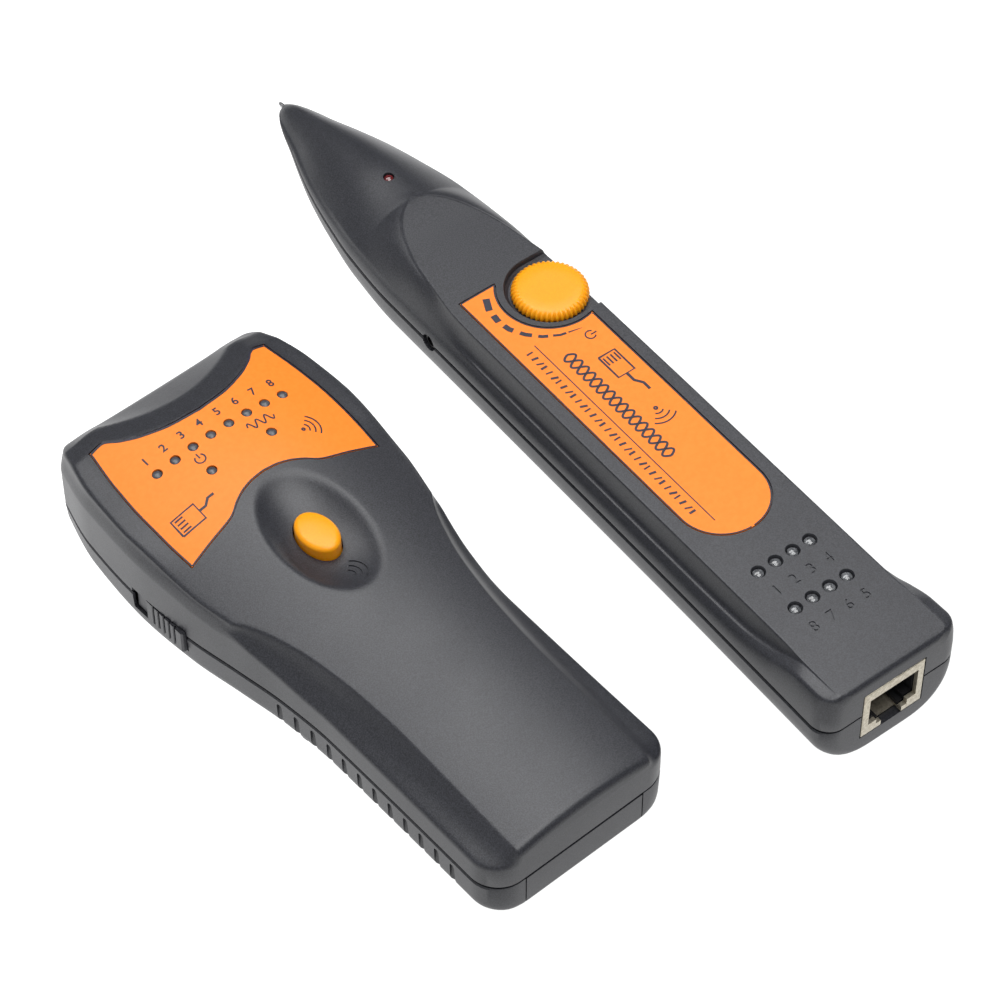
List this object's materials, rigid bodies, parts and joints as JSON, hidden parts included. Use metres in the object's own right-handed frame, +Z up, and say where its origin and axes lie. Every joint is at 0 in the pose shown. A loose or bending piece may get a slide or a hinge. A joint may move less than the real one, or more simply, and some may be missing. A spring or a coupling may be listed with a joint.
{
  "type": "tone probe kit",
  "caption": "Two-piece cable tracing kit: a line transmitter with a lamp row, scan button and plug sockets, and a long receiver probe with volume wheel, lamps and metal tip.",
  "frame": {"origin": "middle of the footprint of the whole kit, on the surface that it lies on", "axes": "+X across the kit from the transmitter to the receiver; +Y along the transmitter, from its battery end to its sockets, which is nearly along the receiver from its socket to its probe tip; +Z up"},
  "size_m": [0.1258, 0.2164, 0.0316],
  "materials": {
    "case_plastic": "fine spark-eroded texture",
    "label_print": "printed film",
    "amber_plastic": "satin moulding",
    "black_plastic": "plain moulding",
    "clear_lens": "clear lamp lens",
    "smoked_lens": "diffusing lamp lens",
    "red_lens": "red lamp lens",
    "nickel": "nickel plated sheet",
    "steel": "plain",
    "board_green": "solder mask",
    "battery_wrap": "printed metal jacket"
  },
  "bodies": {
    "transmitter": {"tx_back_cover": "case_plastic", "tx_battery": "battery_wrap", "tx_battery_snap": "black_plastic", "tx_case_screw_1": "steel", "tx_case_screw_2": "steel", "tx_case_screw_3": "steel", "tx_case_screw_4": "steel", "tx_circuit_board": "board_green", "tx_front_cover": "case_plastic", "tx_label": "label_print", "tx_lamp_1": "smoked_lens", "tx_lamp_2": "smoked_lens", "tx_lamp_3": "smoked_lens", "tx_lamp_4": "smoked_lens", "tx_lamp_5": "smoked_lens", "tx_lamp_6": "smoked_lens", "tx_lamp_7": "smoked_lens", "tx_lamp_8": "smoked_lens", "tx_lamp_power": "smoked_lens", "tx_lamp_scan": "smoked_lens", "tx_line_socket": "black_plastic", "tx_phone_socket": "black_plastic", "tx_slide_switch": "steel", "tx_tact_switch": "black_plastic"},
    "scan_button": {"tx_scan_button": "amber_plastic"},
    "slide_knob": {"tx_slide_knob": "case_plastic"},
    "battery_door": {"tx_battery_door": "case_plastic"},
    "receiver": {"rx_back_cover": "case_plastic", "rx_battery": "battery_wrap", "rx_battery_cover": "case_plastic", "rx_battery_snap": "black_plastic", "rx_case_screw_1": "steel", "rx_case_screw_2": "steel", "rx_case_screw_3": "steel", "rx_case_screw_4": "steel", "rx_ear_socket": "black_plastic", "rx_front_cover": "case_plastic", "rx_label": "label_print", "rx_lamp_1": "clear_lens", "rx_lamp_2": "clear_lens", "rx_lamp_3": "clear_lens", "rx_lamp_4": "clear_lens", "rx_lamp_5": "clear_lens", "rx_lamp_6": "clear_lens", "rx_lamp_7": "clear_lens", "rx_lamp_8": "clear_lens", "rx_lamp_board": "board_green", "rx_main_board": "board_green", "rx_nose_lamp": "red_lens", "rx_probe_pin": "steel", "rx_socket_insert": "black_plastic", "rx_socket_shield": "nickel", "rx_speaker": "black_plastic", "rx_volume_control": "steel"},
    "volume_wheel": {"rx_volume_wheel": "amber_plastic"}
  },
  "joints": [
    {"name": "scan_button_press", "type": "slide", "parent": "transmitter", "child": "scan_button", "axis": [0, 0, -1], "range_m": [0, 0.0008], "stiffness_N_per_m": 1500},
    {"name": "power_slide", "type": "slide", "parent": "transmitter", "child": "slide_knob", "axis": [0, 1, 0], "range_m": [0, 0.004]},
    {"name": "battery_door_slide", "type": "slide", "parent": "transmitter", "child": "battery_door", "axis": [0, -1, 0], "range_m": [0, 0.055]},
    {"name": "receiver_lift", "type": "slide", "parent": "transmitter", "child": "receiver", "axis": [0, 0, 1], "range_m": [0, 0.06]},
    {"name": "volume_turn", "type": "hinge", "parent": "receiver", "child": "volume_wheel", "pos_m": [0.05171, 0.01565, 0], "axis": [0, 0, 1], "range_deg": [-140, 140]}
  ]
}
